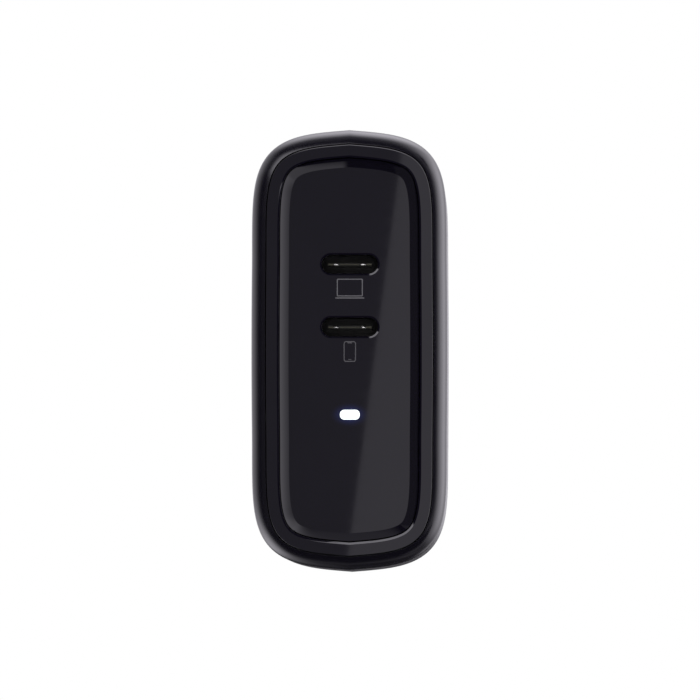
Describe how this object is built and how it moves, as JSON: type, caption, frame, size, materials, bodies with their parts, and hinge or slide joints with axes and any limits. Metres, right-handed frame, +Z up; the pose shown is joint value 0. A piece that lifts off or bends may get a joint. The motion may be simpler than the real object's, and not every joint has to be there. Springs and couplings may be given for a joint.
{
  "type": "usb wall charger",
  "caption": "Slim upright wall charger with rounded housing, dished port face with oval USB-C ports and status light, and a folding two-blade plug at the back.",
  "frame": {"origin": "centre of the flat back face that meets the wall", "axes": "+Y out of the back face towards the wall outlet, the port face looks along -Y; +Z up; +X to the right in a view of the port face"},
  "size_m": [0.0294, 0.0765, 0.066],
  "materials": {
    "housing_plastic": "fine satin, near black",
    "bezel_plastic": "satin, near black",
    "panel_gloss": "polished, near black",
    "light_pipe": "frosted, lit white",
    "connector_steel": "dark plated steel",
    "connector_plastic": "moulded black",
    "circuit_board": "solder mask green",
    "chip_epoxy": "moulded epoxy",
    "ferrite": "ground ferrite",
    "bobbin_plastic": "moulded black",
    "winding_tape": "yellow tape over copper wire",
    "copper": "enamelled copper",
    "capacitor_sleeve": "shrink sleeve",
    "film_capacitor": "yellow case",
    "disc_capacitor": "dipped coating",
    "fuse_ceramic": "glazed tube",
    "sheet_insulation": "thin film",
    "spreader_aluminium": "rolled sheet",
    "plug_plastic": "satin, near black",
    "blade_nickel": "bright nickel plating",
    "spring_bronze": "spring strip",
    "screw_steel": "zinc plated",
    "retainer_plastic": "moulded dark grey",
    "lead_sleeve": "wire insulation"
  },
  "bodies": {
    "charger": {"main_shell": "housing_plastic", "back_cover": "housing_plastic", "front_bezel": "bezel_plastic", "port_panel": "panel_gloss", "light_pipe": "light_pipe", "led_chip": "chip_epoxy", "usb_c_shell_upper": "connector_steel", "usb_c_shell_lower": "connector_steel", "usb_c_insert_upper": "connector_plastic", "usb_c_insert_lower": "connector_plastic", "port_board": "circuit_board", "main_board": "circuit_board", "insulating_sheet": "sheet_insulation", "heat_spreader": "spreader_aluminium", "board_header": "connector_plastic", "pd_controller_ic": "chip_epoxy", "gan_switch_ic": "chip_epoxy", "sync_rectifier_ic": "chip_epoxy", "transformer_core_lower": "ferrite", "transformer_core_upper": "ferrite", "transformer_bobbin": "bobbin_plastic", "transformer_winding": "winding_tape", "bulk_capacitor_1": "capacitor_sleeve", "bulk_capacitor_2": "capacitor_sleeve", "output_capacitor_1": "capacitor_sleeve", "output_capacitor_2": "capacitor_sleeve", "x_capacitor": "film_capacitor", "bridge_rectifier": "chip_epoxy", "output_inductor": "ferrite", "fuse": "fuse_ceramic", "y_capacitor": "disc_capacitor", "choke_base": "bobbin_plastic", "choke_core": "ferrite", "choke_winding_1": "copper", "choke_winding_2": "copper", "hinge_retainer": "retainer_plastic", "retainer_screw_right": "screw_steel", "retainer_screw_left": "screw_steel", "line_contact_spring": "spring_bronze", "neutral_contact_spring": "spring_bronze", "detent_spring": "spring_bronze", "line_lead": "lead_sleeve", "neutral_lead": "lead_sleeve"},
    "plug": {"plug_carrier": "plug_plastic", "live_blade": "blade_nickel", "neutral_blade": "blade_nickel"}
  },
  "joints": [
    {"name": "plug_fold", "type": "hinge", "parent": "charger", "child": "plug", "pos_m": [0, -0.0036, 0.008], "axis": [-1, 0, 0], "range_deg": [0, 90]}
  ]
}
